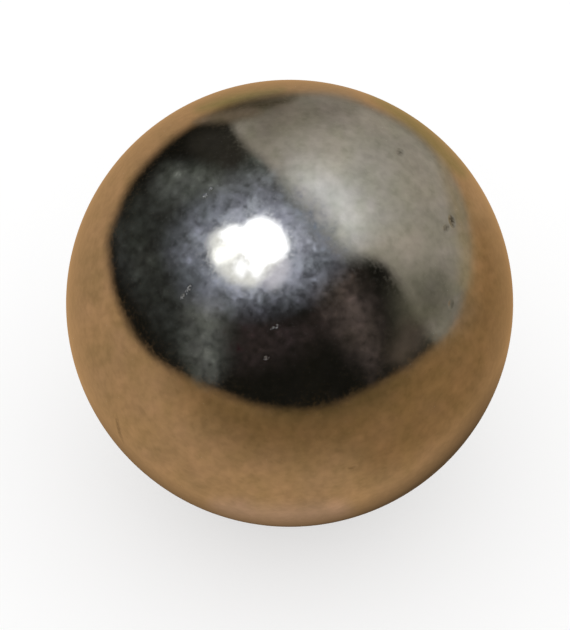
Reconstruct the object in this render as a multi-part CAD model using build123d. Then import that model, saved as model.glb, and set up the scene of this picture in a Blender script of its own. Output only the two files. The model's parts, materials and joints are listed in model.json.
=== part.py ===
from build123d import *
import os

# Polished steel ball: one solid sphere, ground to size and lapped bright all over.
# Millimetres, +Z up, with the origin at the centre of the ball.

# Driving dimension
BALL_DIAMETER = 25.4

# The rim of the half section runs from the south pole to the north pole.
SOUTH_POLE_ANGLE = -90
HALF_TURN = 180

ball_radius = BALL_DIAMETER / 2


def half_section():
    """Half disc on the +X side of the polar axis."""
    with BuildSketch(Plane.XZ) as section:
        with BuildLine():
            rim = CenterArc((0, 0), ball_radius, SOUTH_POLE_ANGLE, HALF_TURN)
            Line(rim @ 1, rim @ 0)
        make_face()
    return section.sketch


def make_ball():
    """Solid ball, turned from its half section about the polar axis."""
    with BuildPart() as ball:
        add(half_section())
        revolve(axis=Axis.Z)
    return ball.part


os.makedirs("parts", exist_ok=True)
export_step(make_ball(), "parts/ball.step")
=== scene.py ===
import json
import math
from collections import namedtuple

import bmesh
import bpy
import numpy as np
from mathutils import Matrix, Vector


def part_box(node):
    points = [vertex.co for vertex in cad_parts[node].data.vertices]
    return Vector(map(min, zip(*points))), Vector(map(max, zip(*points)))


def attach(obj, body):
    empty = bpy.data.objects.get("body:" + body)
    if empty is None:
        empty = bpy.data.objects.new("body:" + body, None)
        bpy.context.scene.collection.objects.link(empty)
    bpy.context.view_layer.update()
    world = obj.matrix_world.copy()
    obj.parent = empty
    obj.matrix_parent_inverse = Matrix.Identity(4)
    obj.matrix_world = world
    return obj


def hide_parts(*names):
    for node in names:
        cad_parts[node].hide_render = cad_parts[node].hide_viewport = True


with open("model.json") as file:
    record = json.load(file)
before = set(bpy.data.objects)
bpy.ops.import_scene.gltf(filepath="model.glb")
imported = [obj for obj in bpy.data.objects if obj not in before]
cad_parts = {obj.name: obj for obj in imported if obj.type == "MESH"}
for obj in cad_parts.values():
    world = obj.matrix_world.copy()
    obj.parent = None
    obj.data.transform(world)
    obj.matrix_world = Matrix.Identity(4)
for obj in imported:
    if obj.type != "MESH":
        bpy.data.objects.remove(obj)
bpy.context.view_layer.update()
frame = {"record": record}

# The ball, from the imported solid, in metres
BALL_LOW, BALL_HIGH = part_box("ball")
BALL_RADIUS = (BALL_HIGH.z - BALL_LOW.z) / 2
STEEL_COLOUR = np.array(frame["record"]["materials"][0]["base_color"][:3])

# Where the ball shows in the photograph, in pixels
PHOTO_SIZE = np.array((570, 630))
BALL_PX_CENTRE = np.array((289.6, 303.3))
BALL_PX_RADIUS = 223.6

# Camera, in front of the ball on the -Y side and looking down on it
CAMERA_ELEVATION = math.radians(46)
CAMERA_DISTANCE = 12 * BALL_RADIUS
CAMERA_CLIP_START = BALL_RADIUS / 10
SENSOR_WIDTH_MM = 36.0
TANGENT_LENGTH = math.sqrt(CAMERA_DISTANCE ** 2 - BALL_RADIUS ** 2)
FOCAL_PX = BALL_PX_RADIUS * TANGENT_LENGTH / BALL_RADIUS
TO_CAMERA = np.array((0.0, -math.cos(CAMERA_ELEVATION), math.sin(CAMERA_ELEVATION)))
CAMERA_RIGHT = np.array((1.0, 0.0, 0.0))
CAMERA_UP = np.array((0.0, math.sin(CAMERA_ELEVATION), math.cos(CAMERA_ELEVATION)))

# Ball mesh: six square grids swelled to a sphere and welded, each with its own cell of the bake layout
GRID_STEPS = 84
WELD_DISTANCE = 1e-5 * BALL_RADIUS
BAKE_COLUMNS = 3
BAKE_ROWS = 2
BAKE_MARGIN = 0.006

# Margins around each nick within which the mesh is made finer, one step after the other
FINER_MARGINS = (0.03 * BALL_RADIUS, 0.02 * BALL_RADIUS, 0.01 * BALL_RADIUS)

# Nicks in the polish: pixel place, half length and half width in metres, turn in degrees,
# and how dirty and how scuffed each is, from 0 to 1
NICKS = {
    "round_pit": ((400, 152), 0.42e-3, 0.28e-3, 54, 0.42, 0.0),
    "forked_pit": ((452, 221), 0.44e-3, 0.30e-3, 75, 0.62, 0.0),
    "forked_pit_tail": ((446, 228), 0.42e-3, 0.22e-3, 35, 0.42, 0.0),
    "right_fleck": ((451, 304), 0.30e-3, 0.24e-3, 80, 0.15, 0.0),
    "low_fleck": ((353, 467), 0.32e-3, 0.20e-3, 10, 0.15, 0.0),
    "low_left_scratch": ((119, 430), 1.55e-3, 0.24e-3, 52, 0.32, 0.0),
    "left_streak": ((188, 290), 0.36e-3, 0.12e-3, 55, 0.0, 0.8),
    "left_streak_beside": ((183, 296), 0.24e-3, 0.11e-3, 45, 0.0, 0.8),
    "middle_fleck": ((275, 327), 0.30e-3, 0.12e-3, 25, 0.0, 0.8),
    "lower_fleck": ((266, 358), 0.20e-3, 0.12e-3, 15, 0.0, 1.0),
    "upper_fleck": ((205, 196), 0.18e-3, 0.12e-3, 30, 0.0, 0.8),
    "upper_fleck_beside": ((211, 189), 0.15e-3, 0.12e-3, 60, 0.0, 0.8),
}
Nick = namedtuple("Nick", "centre normal along across half_length half_width dirt scuff")

# Form of a nick: depth as a share of its half width, power that rounds its rim,
# and how far out it is looked for, as a share of its half length
NICK_DEPTH_SHARE = 0.06
NICK_RIM_POWER = 1.5
NICK_REACH_SHARE = 1.1

# Textures of the steel: size of the features in metres, detail of the noise,
# the band of the noise that counts, and the range that this band is spread over
Texture = namedtuple("Texture", "feature detail band spread")
TEXTURES = {
    "mottle": Texture(3e-3, 4.0, (0.35, 0.65), (-0.2, 0.2)),
    "grain": Texture(0.4e-3, 1.0, (0.3, 0.7), (0.0, 1.0)),
    "dirt_patches": Texture(0.16e-3, 0.5, (0.3, 0.7), (0.7, 1.5)),
    "smears": Texture(4e-3, 3.0, (0.35, 0.65), (0.05, 0.08)),
    "clouds": Texture(0.8e-3, 2.0, (0.3, 0.7), (-0.06, 0.06)),
    "specks": Texture(0.2e-3, 1.0, (0.42, 0.75), (0.0, 0.08)),
    "scuff_breaks": Texture(0.1e-3, 1.0, (0.3, 0.7), (-0.35, 0.35)),
    "pits": Texture(0.12e-3, 1.0, (0.70, 0.76), (0.0, -0.04)),
    "hairlines": Texture(0.05e-3, 1.0, (0.72, 0.78), (0.0, -0.03)),
    "waves": Texture(0.5e-3, 1.0, (0.0, 1.0), (0.0, 1.6)),
}

# Tones of the steel, and the dirt and scuffs in the nicks
TONE_SPREAD = 0.05
DIRT_COLOUR = (0.05, 0.047, 0.035, 1)
DIRT_BAND = (0.0, 1.0)
DIRT_ROUGHNESS = (0.0, 0.4)
SCUFF_BAND = (0.35, 1.0)
SCUFF_ROUGHNESS = (0.0, 0.55)

# Directions of the hairline scratches in degrees, and how their noise is drawn out along them
HAIRLINE_TURNS = ((20, 35, 10), (70, -25, 60), (-40, 80, 120), (10, -70, 200))
HAIRLINE_STRETCH = (0.03, 1.0, 1.0)

# Heights of the relief are in micrometres
RELIEF_UNIT = 1e-6

# Light tent that only the polish mirrors, as a dome around the ball: its radius in metres,
# its rings and spokes, and how near to the rim of the ball the rings reach
TENT_RADIUS = 0.5
TENT_RINGS = 190
TENT_SPOKES = 500
TENT_REACH_SHARE = 0.9995

# Soft cards of the tent, in the order they are laid: colour as it shows in the ball, width of the soft
# edge, and the few points that its rounded outline runs through, in photograph pixels
Card = namedtuple("Card", "colour edge_width points")
OUTLINE_STEPS = 5
WARM_COLOUR = (146, 114, 78)
WARM_CARDS = {
    "front_shade": Card((108, 82, 50), 60, [
        (180, 372), (290, 400), (380, 380), (445, 330), (470, 352),
        (415, 432), (335, 456), (250, 454), (195, 412)]),
    "front_edge_shade": Card((84, 66, 38), 30, [
        (266, 404), (300, 406), (340, 402), (380, 384), (412, 370),
        (400, 392), (350, 414), (300, 421), (268, 415)]),
    "right_shade": Card((119, 90, 56), 50, [
        (480, 225), (510, 296), (486, 394), (425, 452),
        (370, 470), (372, 425), (435, 375), (462, 310)]),
    "near_light": Card((152, 121, 93), 20, [
        (215, 500), (290, 506), (345, 502), (345, 520), (290, 526), (225, 518)]),
    "top_shade": Card((126, 106, 66), 16, [
        (372, 96), (420, 120), (464, 168), (456, 174), (412, 134)]),
    "top_left_shade": Card((124, 108, 68), 14, [
        (196, 110), (232, 95), (282, 89), (270, 96), (236, 105)]),
}
CARDS = {
    "dark_card": Card((19, 18, 14), 13, [
        (108, 250), (118, 306), (150, 356), (203, 385), (258, 406), (320, 409),
        (376, 386), (430, 350), (458, 305), (468, 250), (456, 190), (412, 133),
        (344, 100), (260, 98), (186, 128), (134, 177), (113, 225)]),
    "left_grey": Card((42, 43, 39), 32, [
        (116, 256), (126, 212), (152, 190), (220, 200),
        (244, 300), (230, 362), (186, 362), (155, 322)]),
    "upper_grey": Card((76, 78, 72), 26, [
        (156, 186), (170, 168), (212, 164), (262, 154), (286, 184), (235, 194), (175, 200)]),
    "upper_dark": Card((38, 36, 30), 20, [
        (190, 142), (210, 130), (238, 132), (248, 156), (234, 172), (202, 160)]),
    "low_left_grey": Card((84, 85, 79), 36, [
        (190, 304), (222, 296), (226, 330), (212, 376), (196, 366)]),
    "low_grey": Card((40, 34, 32), 46, [
        (232, 320), (296, 322), (336, 322), (286, 352), (240, 364)]),
    "side_grey": Card((62, 54, 49), 40, [
        (318, 290), (346, 272), (366, 296), (378, 336), (374, 372), (340, 332)]),
    "pale_card": Card((133, 126, 112), 14, [
        (236, 119), (292, 98), (344, 99), (412, 132), (456, 188), (467, 250), (459, 310),
        (438, 339), (421, 322), (390, 268), (349, 244), (298, 195), (264, 161), (245, 143)]),
    "pale_top": Card((104, 97, 85), 40, [
        (245, 112), (292, 98), (344, 100), (350, 116), (300, 124), (262, 138)]),
    "pale_corner": Card((50, 42, 26), 22, [
        (222, 112), (256, 101), (292, 98), (280, 107), (248, 112)]),
    "pale_middle": Card((150, 145, 132), 56, [
        (290, 160), (340, 140), (385, 160), (402, 200), (390, 238), (335, 236)]),
    "pale_light": Card((196, 195, 190), 60, [
        (298, 180), (320, 175), (348, 192), (362, 221), (349, 241), (321, 214)]),
    "pale_strip": Card((96, 84, 68), 12, [
        (194, 122), (216, 113), (246, 109), (262, 112), (240, 121), (212, 122)]),
    "pale_side": Card((86, 82, 69), 56, [
        (406, 284), (446, 268), (458, 310), (430, 334), (408, 322)]),
    "pale_right": Card((130, 116, 90), 18, [
        (440, 160), (463, 206), (471, 250), (468, 284), (460, 282), (460, 250), (451, 208)]),
    "pale_foot": Card((66, 58, 49), 26, [
        (404, 322), (424, 327), (420, 345), (406, 364), (390, 356)]),
    "lamp_glow": Card((112, 115, 122), 56, [
        (336, 246), (310, 284), (256, 302), (208, 296),
        (182, 254), (206, 210), (254, 187), (316, 210)]),
    "lamp_near_glow": Card((150, 153, 163), 26, [
        (308, 245), (288, 280), (252, 295), (226, 282),
        (209, 250), (224, 215), (258, 204), (292, 214)]),
}

# Bright cards of the lamp, laid last, where more than 255 is brighter than white
LAMP_CARDS = {
    "lamp_trail": Card((184, 182, 188), 14, [
        (264, 262), (284, 256), (289, 270), (276, 287), (264, 282)]),
    "lamp_screen": Card((214, 213, 206), 12, [
        (211, 236), (240, 228), (280, 254), (268, 272), (254, 286), (230, 281), (214, 262)]),
    "lamp_left": Card((280, 280, 272), 8, [
        (213, 252), (224, 245), (238, 250), (232, 259), (217, 264)]),
    "lamp_foot": Card((285, 285, 285), 8, [
        (235, 268), (241, 260), (247, 267), (242, 277)]),
    "lamp_foot_beside": Card((285, 285, 285), 8, [
        (249, 268), (255, 260), (264, 266), (257, 278)]),
    "lamp_core": Card((320, 320, 320), 10, [
        (222, 237), (227, 229), (235, 226), (242, 228), (250, 221), (261, 218),
        (277, 225), (288, 245), (281, 257), (258, 264), (243, 252)]),
}

# Mottle of the cards, which fades out towards the rim: size of its features in pixels,
# and its strength in red, green and blue
MOTTLE_FADE = 24
MOTTLES = (
    (24, (0.06, 0.05, 0.02)),
    (12, (0.08, 0.06, 0.10)),
    (6, (0.11, 0.10, 0.12)),
    (3.5, (0.06, 0.06, 0.06)),
)
LATTICE_SIZE = 256

# Cards that show as a patchy haze, and the sizes of the patches in pixels with their strengths
HAZY_CARDS = (
    "left_grey", "upper_grey", "low_left_grey", "low_grey", "side_grey", "lamp_glow", "lamp_near_glow")
HAZE_PATCHES = ((9, 0.28), (5, 0.6), (3.5, 0.6))

# Shade that the ball mirrors around the point it rests on, as a soft dark oval,
# longer away from the lamp
SHADE_COLOUR = (72, 56, 38)
SHADE_PLACE = (0.18 * BALL_RADIUS, 0, -BALL_RADIUS)
SHADE_SIZE = (1.5 * BALL_RADIUS, 0.96 * BALL_RADIUS, BALL_RADIUS)
SHADE_STEEPNESS = 2.2
SHADE_SPOKES = 64

# Hot middle of the lamp: its size as a share of the lamp's core, and its distance as a share of the tent's
LAMP_STRENGTH = 4.0
LAMP_COLOUR = (0.93, 0.96, 1.0, 1)
LAMP_SIZE_SHARE = 0.8
LAMP_DISTANCE_SHARE = 0.96

# Floor under the ball, in metres, and the even light of the studio
FLOOR_RADIUS = 1.5
FLOOR_SPOKES = 96
FLOOR_COLOUR = (0.45, 0.45, 0.45, 1)
FLOOR_GLOW = 0.58
WHITE = (1, 1, 1, 1)
STUDIO_STRENGTH = 1.0


def mirror_rays(pixels):
    """Points of the ball at photograph pixels, and the directions that the polish mirrors there."""
    offsets = (np.asarray(pixels, float).reshape(-1, 2) - BALL_PX_CENTRE) / FOCAL_PX
    rays = offsets[:, :1] * CAMERA_RIGHT - offsets[:, 1:] * CAMERA_UP - TO_CAMERA
    rays /= np.linalg.norm(rays, axis=1, keepdims=True)
    eye = TO_CAMERA * CAMERA_DISTANCE
    along = rays @ eye
    reach = -along - np.sqrt(np.maximum(along ** 2 - TANGENT_LENGTH ** 2, 0))
    points = eye + reach[:, None] * rays
    normals = points / BALL_RADIUS
    mirrored = rays - 2 * (rays * normals).sum(1, keepdims=True) * normals
    return points, mirrored


def onto_tent(pixels, radius):
    """Places at a distance from the ball's centre that the ball mirrors at photograph pixels."""
    points, mirrored = mirror_rays(pixels)
    along = (points * mirrored).sum(1)
    reach = -along + np.sqrt(along ** 2 - BALL_RADIUS ** 2 + radius ** 2)
    return points + reach[:, None] * mirrored


def linear(colour):
    """Linear light of a colour given as it shows on screen, 0 to 255, by the standard screen curve."""
    shown = np.array(colour) / 255
    return np.where(shown <= 0.04045, shown / 12.92, ((shown + 0.055) / 1.055) ** 2.4)


def smooth(share):
    """Smooth step from 0 to 1."""
    return share * share * (3 - 2 * share)


def built_mesh(name, bm):
    """Mesh with the faces that were built."""
    mesh = bpy.data.meshes.new(name)
    bm.to_mesh(mesh)
    bm.free()
    return mesh


def disc_mesh(name, radius, spokes):
    """Flat round mesh."""
    bm = bmesh.new()
    bmesh.ops.create_circle(bm, cap_ends=True, radius=radius, segments=spokes)
    return built_mesh(name, bm)


def link_mesh(name, mesh):
    """Object with the mesh, in the scene."""
    piece = bpy.data.objects.new(name, mesh)
    bpy.context.scene.collection.objects.link(piece)
    return piece


# Ball


def cube_sphere():
    """Six square grids swelled to a sphere, each with its own cell of the bake layout."""
    bm = bmesh.new()
    layout = bm.loops.layers.uv.new("OFBake")
    turns = np.tan(np.linspace(-math.pi / 4, math.pi / 4, GRID_STEPS + 1))
    shares = np.linspace(BAKE_MARGIN, 1 - BAKE_MARGIN, GRID_STEPS + 1)
    for side in range(6):
        axis = side % 3
        sign = 1 if side < 3 else -1
        grid = []
        for i in range(GRID_STEPS + 1):
            row = []
            for j in range(GRID_STEPS + 1):
                place = Vector((0, 0, 0))
                place[axis] = sign
                place[(axis + 1) % 3] = turns[i] * sign
                place[(axis + 2) % 3] = turns[j]
                row.append(bm.verts.new(place.normalized() * BALL_RADIUS))
            grid.append(row)
        column = side % BAKE_COLUMNS
        line = side // BAKE_COLUMNS
        for i in range(GRID_STEPS):
            for j in range(GRID_STEPS):
                corners = [(i, j), (i + 1, j), (i + 1, j + 1), (i, j + 1)]
                face = bm.faces.new([grid[a][b] for a, b in corners])
                for loop, (a, b) in zip(face.loops, corners):
                    across = (column + shares[a]) / BAKE_COLUMNS
                    up = (line + shares[b]) / BAKE_ROWS
                    loop[layout].uv = (across, up)
    bmesh.ops.remove_doubles(bm, verts=bm.verts, dist=WELD_DISTANCE)
    return bm


def nicks_on_ball():
    """The nicks with their places and directions on the ball."""
    nicks = []
    for pixel, half_length, half_width, turn, dirt, scuff in NICKS.values():
        points = mirror_rays([pixel])[0]
        centre = Vector(points[0])
        normal = centre.normalized()
        angle = math.radians(turn)
        along = Vector(CAMERA_RIGHT * math.cos(angle) + CAMERA_UP * math.sin(angle))
        along = (along - normal * along.dot(normal)).normalized()
        across = normal.cross(along)
        nicks.append(Nick(centre, normal, along, across, half_length, half_width, dirt, scuff))
    return nicks


def near_nick(place, nick, margin):
    """True where a place on the ball is within the margin around a nick."""
    away = place - nick.centre
    if away.length > nick.half_length + 2 * margin:
        return False
    near_along = abs(away.dot(nick.along)) < nick.half_length + margin
    near_across = abs(away.dot(nick.across)) < nick.half_width + margin
    return near_along and near_across


def refine(bm, nicks):
    """Makes the mesh finer around the nicks, in steps."""
    for margin in FINER_MARGINS:
        # A dict keeps the edges in the order they are found
        edges = {}
        for face in bm.faces:
            middle = face.calc_center_median()
            if any(near_nick(middle, nick, margin) for nick in nicks):
                edges.update(dict.fromkeys(face.edges))
        bmesh.ops.subdivide_edges(bm, edges=list(edges), cuts=1, use_grid_fill=True)
        for vertex in bm.verts:
            vertex.co *= BALL_RADIUS / vertex.co.length


def cut_nicks(bm):
    """Presses the nicks into the ball as shallow dishes, and marks their dirt and scuffs."""
    nicks = nicks_on_ball()
    refine(bm, nicks)
    # Both layers are made before either is used, because making the second one moves the first
    bm.verts.layers.float.new("dirt")
    bm.verts.layers.float.new("scuff")
    dirt = bm.verts.layers.float["dirt"]
    scuff = bm.verts.layers.float["scuff"]
    for vertex in bm.verts:
        for nick in nicks:
            away = vertex.co - nick.centre
            if away.length > NICK_REACH_SHARE * nick.half_length:
                continue
            run = away.dot(nick.along)
            side = away.dot(nick.across)
            within = 1 - (run / nick.half_length) ** 2 - (side / nick.half_width) ** 2
            if within > 0:
                depth = NICK_DEPTH_SHARE * nick.half_width * within ** NICK_RIM_POWER
                vertex.co -= nick.normal * depth
                vertex[dirt] = max(vertex[dirt], nick.dirt * within)
                vertex[scuff] = max(vertex[scuff], nick.scuff * math.sqrt(within))


def make_ball():
    """The polished ball with its nicks."""
    bm = cube_sphere()
    cut_nicks(bm)
    bmesh.ops.recalc_face_normals(bm, faces=bm.faces)
    mesh = built_mesh("polished_ball", bm)
    mesh.shade_smooth()
    mesh.materials.append(steel_material())
    return link_mesh("polished_ball", mesh)


# Steel


class SteelNodes:
    """Nodes of the steel, and short calls that add to them."""

    def __init__(self, tree):
        self.nodes = tree.nodes
        self.links = tree.links
        self.shader = tree.nodes["Principled BSDF"]
        self.place = tree.nodes.new("ShaderNodeTexCoord").outputs["Object"]

    def noise(self, feature, detail, vector):
        node = self.nodes.new("ShaderNodeTexNoise")
        node.inputs["Scale"].default_value = 1 / feature
        node.inputs["Detail"].default_value = detail
        self.links.new(vector, node.inputs["Vector"])
        return node.outputs["Fac"]

    def turned(self, angles, stretch):
        """Place on the ball, turned and drawn out."""
        node = self.nodes.new("ShaderNodeMapping")
        node.inputs["Rotation"].default_value = [math.radians(angle) for angle in angles]
        node.inputs["Scale"].default_value = stretch
        self.links.new(self.place, node.inputs["Vector"])
        return node.outputs["Vector"]

    def ramp(self, value, band, spread):
        """Smooth step across a band of the value, spread over a range."""
        node = self.nodes.new("ShaderNodeMapRange")
        node.interpolation_type = "SMOOTHSTEP"
        self.links.new(value, node.inputs["Value"])
        for end, from_number, to_number in zip(("Min", "Max"), band, spread):
            node.inputs["From " + end].default_value = from_number
            node.inputs["To " + end].default_value = to_number
        return node.outputs["Result"]

    def combine(self, operation, first, second):
        node = self.nodes.new("ShaderNodeMath")
        node.operation = operation
        self.links.new(first, node.inputs[0])
        self.links.new(second, node.inputs[1])
        return node.outputs["Value"]

    def add(self, first, second):
        return self.combine("ADD", first, second)

    def layer(self, name):
        """Values marked on the mesh."""
        node = self.nodes.new("ShaderNodeAttribute")
        node.attribute_name = name
        return node.outputs["Fac"]

    def colour_mix(self, share):
        """Node that blends its colours A and B."""
        node = self.nodes.new("ShaderNodeMix")
        node.data_type = "RGBA"
        self.links.new(share, node.inputs["Factor"])
        return node

    def texture(self, name, shift=None, vector=None):
        """One of the textures, with its noise shifted by another value where one is given."""
        texture = TEXTURES[name]
        value = self.noise(texture.feature, texture.detail, self.place if vector is None else vector)
        if shift is not None:
            value = self.add(value, shift)
        return self.ramp(value, texture.band, texture.spread)


def colour_steel(steel, dirt):
    """Broad mottle, fine grain, and dirt in the nicks."""
    tone = steel.colour_mix(steel.add(steel.texture("mottle"), steel.texture("grain")))
    tone.inputs["A"].default_value = (*(STEEL_COLOUR * (1 - TONE_SPREAD)), 1)
    tone.inputs["B"].default_value = (*(STEEL_COLOUR * (1 + TONE_SPREAD)), 1)
    soiled = steel.colour_mix(dirt)
    steel.links.new(tone.outputs["Result"], soiled.inputs["A"])
    soiled.inputs["B"].default_value = DIRT_COLOUR
    steel.links.new(soiled.outputs["Result"], steel.shader.inputs["Base Color"])


def roughen_steel(steel, dirt):
    """Smeared polish, specks that scatter the lamp into a grainy glow, rough dirt and rough scuffs."""
    polish = steel.add(steel.texture("smears"), steel.texture("specks", shift=steel.texture("clouds")))
    soil = steel.ramp(dirt, DIRT_BAND, DIRT_ROUGHNESS)
    ragged = steel.add(steel.layer("scuff"), steel.texture("scuff_breaks"))
    scuffs = steel.ramp(ragged, SCUFF_BAND, SCUFF_ROUGHNESS)
    steel.links.new(steel.add(polish, steel.add(soil, scuffs)), steel.shader.inputs["Roughness"])


def wear_steel(steel):
    """Fine pits, hairline scratches, and the slight waves left by lapping."""
    height = steel.texture("pits")
    for angles in HAIRLINE_TURNS:
        lines = steel.texture("hairlines", vector=steel.turned(angles, HAIRLINE_STRETCH))
        height = steel.add(height, lines)
    height = steel.add(height, steel.texture("waves"))
    bump = steel.nodes.new("ShaderNodeBump")
    bump.inputs["Strength"].default_value = 1.0
    bump.inputs["Distance"].default_value = RELIEF_UNIT
    steel.links.new(height, bump.inputs["Height"])
    steel.links.new(bump.outputs["Normal"], steel.shader.inputs["Normal"])


def steel_material():
    """Polished steel with fine marks."""
    material = bpy.data.materials.new("polished_steel")
    material.use_nodes = True
    steel = SteelNodes(material.node_tree)
    steel.shader.inputs["Metallic"].default_value = 1.0
    dirt = steel.combine("MULTIPLY", steel.layer("dirt"), steel.texture("dirt_patches"))
    colour_steel(steel, dirt)
    roughen_steel(steel, dirt)
    wear_steel(steel)
    return material


# Light tent


def rounded(points):
    """Closed smooth curve through a few points."""
    here = np.array(points, float)[:, None]
    before, after, beyond = (np.roll(here, shift, axis=0) for shift in (1, -1, -2))
    share = np.linspace(0, 1, OUTLINE_STEPS, endpoint=False)[:, None]
    curve = 2 * here + (after - before) * share
    curve = curve + (2 * before - 5 * here + 4 * after - beyond) * share ** 2
    curve = curve + (3 * here - before - 3 * after + beyond) * share ** 3
    return curve.reshape(-1, 2) / 2


def path_distance(pixels, path):
    """Distance in pixels to the nearest stretch of a path."""
    nearest = np.full(len(pixels), np.inf)
    for start, end in zip(path[:-1], path[1:]):
        run = end - start
        share = np.clip(((pixels - start) @ run) / (run @ run), 0, 1)
        nearest = np.minimum(nearest, np.linalg.norm(pixels - start - share[:, None] * run, axis=1))
    return nearest


def inside(pixels, outline):
    """True where a pixel lies inside a closed outline."""
    found = np.zeros(len(pixels), bool)
    for (x0, y0), (x1, y1) in zip(outline, np.roll(outline, -1, axis=0)):
        crosses = (y0 > pixels[:, 1]) != (y1 > pixels[:, 1])
        rise = np.where(y1 == y0, 1, y1 - y0)
        found ^= crosses & (pixels[:, 0] < x0 + (pixels[:, 1] - y0) / rise * (x1 - x0))
    return found


def soften(depth, width):
    """Soft edge of the given width, from 0 outside it to 1 inside it."""
    return smooth(np.clip(0.5 + depth / width, 0, 1))


def card_weight(pixels, card):
    """How much of a card shows at each pixel, from 0 to 1."""
    outline = rounded(card.points)
    distance = path_distance(pixels, np.vstack((outline, outline[:1])))
    return soften(np.where(inside(pixels, outline), distance, -distance), card.edge_width)


def blotches(pixels, feature, seed):
    """Smooth noise from -1 to 1 over the photograph, with features of the given size in pixels."""
    lattice = np.random.default_rng(seed).uniform(-1, 1, (LATTICE_SIZE, LATTICE_SIZE))
    place = pixels / feature
    cell = np.floor(place).astype(int)
    share = smooth(place - cell)
    value = np.zeros(len(pixels))
    for step in ((0, 0), (1, 0), (0, 1), (1, 1)):
        column, line = ((cell + step) % LATTICE_SIZE).T
        weight = np.where(step, share, 1 - share)
        value += weight[:, 0] * weight[:, 1] * lattice[column, line]
    return value


def paint_tent(pixels):
    """Light of the tent at photograph pixels, before the steel dims it."""
    light = np.tile(linear(WARM_COLOUR), (len(pixels), 1))
    haze = np.ones(len(pixels))
    for seed, (feature, strength) in enumerate(HAZE_PATCHES, len(MOTTLES)):
        haze *= np.exp(strength * blotches(pixels, feature, seed))

    def lay_cards(cards):
        for name, card in cards.items():
            weight = card_weight(pixels, card)
            if name in HAZY_CARDS:
                weight = weight * haze
            light[:] += weight[:, None] * (linear(card.colour) - light)

    lay_cards(WARM_CARDS)
    lay_cards(CARDS)
    from_rim = BALL_PX_RADIUS - np.linalg.norm(pixels - BALL_PX_CENTRE, axis=1)
    fade = soften(from_rim - MOTTLE_FADE / 2, MOTTLE_FADE)
    for seed, (feature, strength) in enumerate(MOTTLES):
        light *= 1 + (fade * blotches(pixels, feature, seed))[:, None] * strength
    lay_cards(LAMP_CARDS)
    return light / STEEL_COLOUR


def dome_pixels():
    """Pixels of the dome's corners, ring by ring from the middle of the ball to its rim."""
    spokes = np.linspace(0, 2 * math.pi, TENT_SPOKES, endpoint=False)
    around = np.stack((np.cos(spokes), np.sin(spokes)), axis=1) * BALL_PX_RADIUS * TENT_REACH_SHARE
    rings = [BALL_PX_CENTRE + around * ring / TENT_RINGS for ring in range(1, TENT_RINGS + 1)]
    return np.vstack([BALL_PX_CENTRE[None]] + rings)


def dome_faces(back):
    """Faces between the rings, closed by the corner in the middle and by the one at the back."""
    rim = back - TENT_SPOKES
    faces = []
    for spoke in range(TENT_SPOKES):
        beside = (spoke + 1) % TENT_SPOKES
        faces.append((0, 1 + spoke, 1 + beside))
        for inner in range(1, rim, TENT_SPOKES):
            outer = inner + TENT_SPOKES
            faces.append((inner + spoke, outer + spoke, outer + beside, inner + beside))
        faces.append((rim + spoke, back, rim + beside))
    return faces


def make_tent():
    """Dome laid out as the ball shows it, with the light of the cards on its corners."""
    pixels = dome_pixels()
    places = np.vstack((onto_tent(pixels, TENT_RADIUS), -TO_CAMERA * TENT_RADIUS))
    light = paint_tent(pixels)
    light = np.vstack((light, light[-1:]))
    mesh = bpy.data.meshes.new("tent")
    mesh.from_pydata(places.tolist(), [], dome_faces(len(pixels)))
    colours = mesh.color_attributes.new("light", "FLOAT_COLOR", "POINT")
    colours.data.foreach_set("color", np.column_stack((light, np.ones(len(light)))).ravel())
    mesh.materials.append(tent_material())
    only_mirrored(link_mesh("tent", mesh))


def glow_material(name):
    """Material that only gives light, and its emission node."""
    material = bpy.data.materials.new(name)
    material.use_nodes = True
    nodes = material.node_tree.nodes
    nodes.clear()
    glow = nodes.new("ShaderNodeEmission")
    out = nodes.new("ShaderNodeOutputMaterial")
    material.node_tree.links.new(glow.outputs["Emission"], out.inputs["Surface"])
    return material, glow


def tent_material():
    """Light as painted on the tent."""
    material, glow = glow_material("tent")
    material.cycles.emission_sampling = "NONE"
    light = material.node_tree.nodes.new("ShaderNodeVertexColor")
    light.layer_name = "light"
    material.node_tree.links.new(light.outputs["Color"], glow.inputs["Color"])
    return material


def only_mirrored(piece):
    """The piece is seen in the polish and nowhere else."""
    piece.visible_camera = False
    piece.visible_diffuse = False
    piece.visible_transmission = False
    piece.visible_volume_scatter = False
    piece.visible_shadow = False


def make_lamp():
    """Hot middle of the lamp, inside its core and in front of the tent."""
    core = rounded(LAMP_CARDS["lamp_core"].points)
    middle = core.mean(axis=0)
    places = onto_tent(middle + LAMP_SIZE_SHARE * (core - middle), TENT_RADIUS * LAMP_DISTANCE_SHARE)
    mesh = bpy.data.meshes.new("lamp")
    mesh.from_pydata(places.tolist(), [], [tuple(range(len(places)))])
    material, glow = glow_material("lamp")
    glow.inputs["Color"].default_value = LAMP_COLOUR
    glow.inputs["Strength"].default_value = LAMP_STRENGTH
    mesh.materials.append(material)
    only_mirrored(link_mesh("lamp", mesh))


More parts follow.
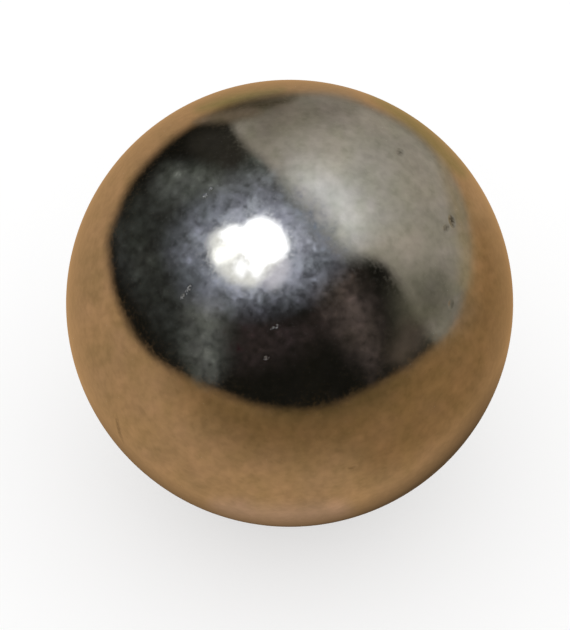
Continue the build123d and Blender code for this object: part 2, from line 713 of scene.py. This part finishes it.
def shade_material():
    """Dark in the middle of the oval and clear at its edge."""
    material, glow = glow_material("shade")
    nodes = material.node_tree.nodes
    links = material.node_tree.links
    glow.inputs["Color"].default_value = (*(linear(SHADE_COLOUR) / STEEL_COLOUR), 1)
    fall = nodes.new("ShaderNodeTexGradient")
    fall.gradient_type = "SPHERICAL"
    links.new(nodes.new("ShaderNodeTexCoord").outputs["Object"], fall.inputs["Vector"])
    steep = nodes.new("ShaderNodeMath")
    steep.operation = "MULTIPLY"
    steep.use_clamp = True
    links.new(fall.outputs["Fac"], steep.inputs[0])
    steep.inputs[1].default_value = SHADE_STEEPNESS
    clear = nodes.new("ShaderNodeBsdfTransparent")
    blend = nodes.new("ShaderNodeMixShader")
    links.new(steep.outputs["Value"], blend.inputs["Fac"])
    links.new(clear.outputs["BSDF"], blend.inputs[1])
    links.new(glow.outputs["Emission"], blend.inputs[2])
    links.new(blend.outputs["Shader"], nodes["Material Output"].inputs["Surface"])
    return material


def make_shade():
    """Soft dark oval at the point where the ball rests."""
    mesh = disc_mesh("shade", 1.0, SHADE_SPOKES)
    mesh.materials.append(shade_material())
    shade = link_mesh("shade", mesh)
    shade.scale = SHADE_SIZE
    shade.location = SHADE_PLACE
    only_mirrored(shade)


# Floor, light and camera


def floor_material():
    """Pale and matt, with a little light of its own."""
    material = bpy.data.materials.new("floor")
    material.use_nodes = True
    shader = material.node_tree.nodes["Principled BSDF"]
    shader.inputs["Base Color"].default_value = FLOOR_COLOUR
    shader.inputs["Roughness"].default_value = 1.0
    shader.inputs["Specular IOR Level"].default_value = 0.0
    shader.inputs["Emission Color"].default_value = WHITE
    shader.inputs["Emission Strength"].default_value = FLOOR_GLOW
    return material


def make_floor():
    """Plain round floor that the ball stands on."""
    mesh = disc_mesh("floor", FLOOR_RADIUS, FLOOR_SPOKES)
    mesh.materials.append(floor_material())
    floor = link_mesh("floor", mesh)
    floor.location.z = -BALL_RADIUS
    floor.visible_glossy = False


def make_world():
    """Even white light from all sides."""
    world = bpy.data.worlds.new("studio")
    world.use_nodes = True
    background = world.node_tree.nodes["Background"]
    background.inputs["Color"].default_value = WHITE
    background.inputs["Strength"].default_value = STUDIO_STRENGTH
    bpy.context.scene.world = world


def make_camera():
    """Camera at the photograph's viewing angle, with the ball at its place in the picture."""
    data = bpy.data.cameras.new("camera")
    long_side = float(PHOTO_SIZE.max())
    data.sensor_width = SENSOR_WIDTH_MM
    data.lens = SENSOR_WIDTH_MM * FOCAL_PX / long_side
    shift = (PHOTO_SIZE / 2 - BALL_PX_CENTRE) / long_side
    data.shift_x = shift[0]
    data.shift_y = -shift[1]
    data.clip_start = CAMERA_CLIP_START
    camera = bpy.data.objects.new("camera", data)
    camera.location = TO_CAMERA * CAMERA_DISTANCE
    camera.rotation_euler = Vector(-TO_CAMERA).to_track_quat("-Z", "Y").to_euler()
    bpy.context.scene.collection.objects.link(camera)
    bpy.context.scene.camera = camera


ball = make_ball()
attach(ball, "root")
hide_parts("ball")
make_tent()
make_lamp()
make_shade()
make_floor()
make_world()
make_camera()
bpy.context.scene.view_settings.view_transform = "Standard"
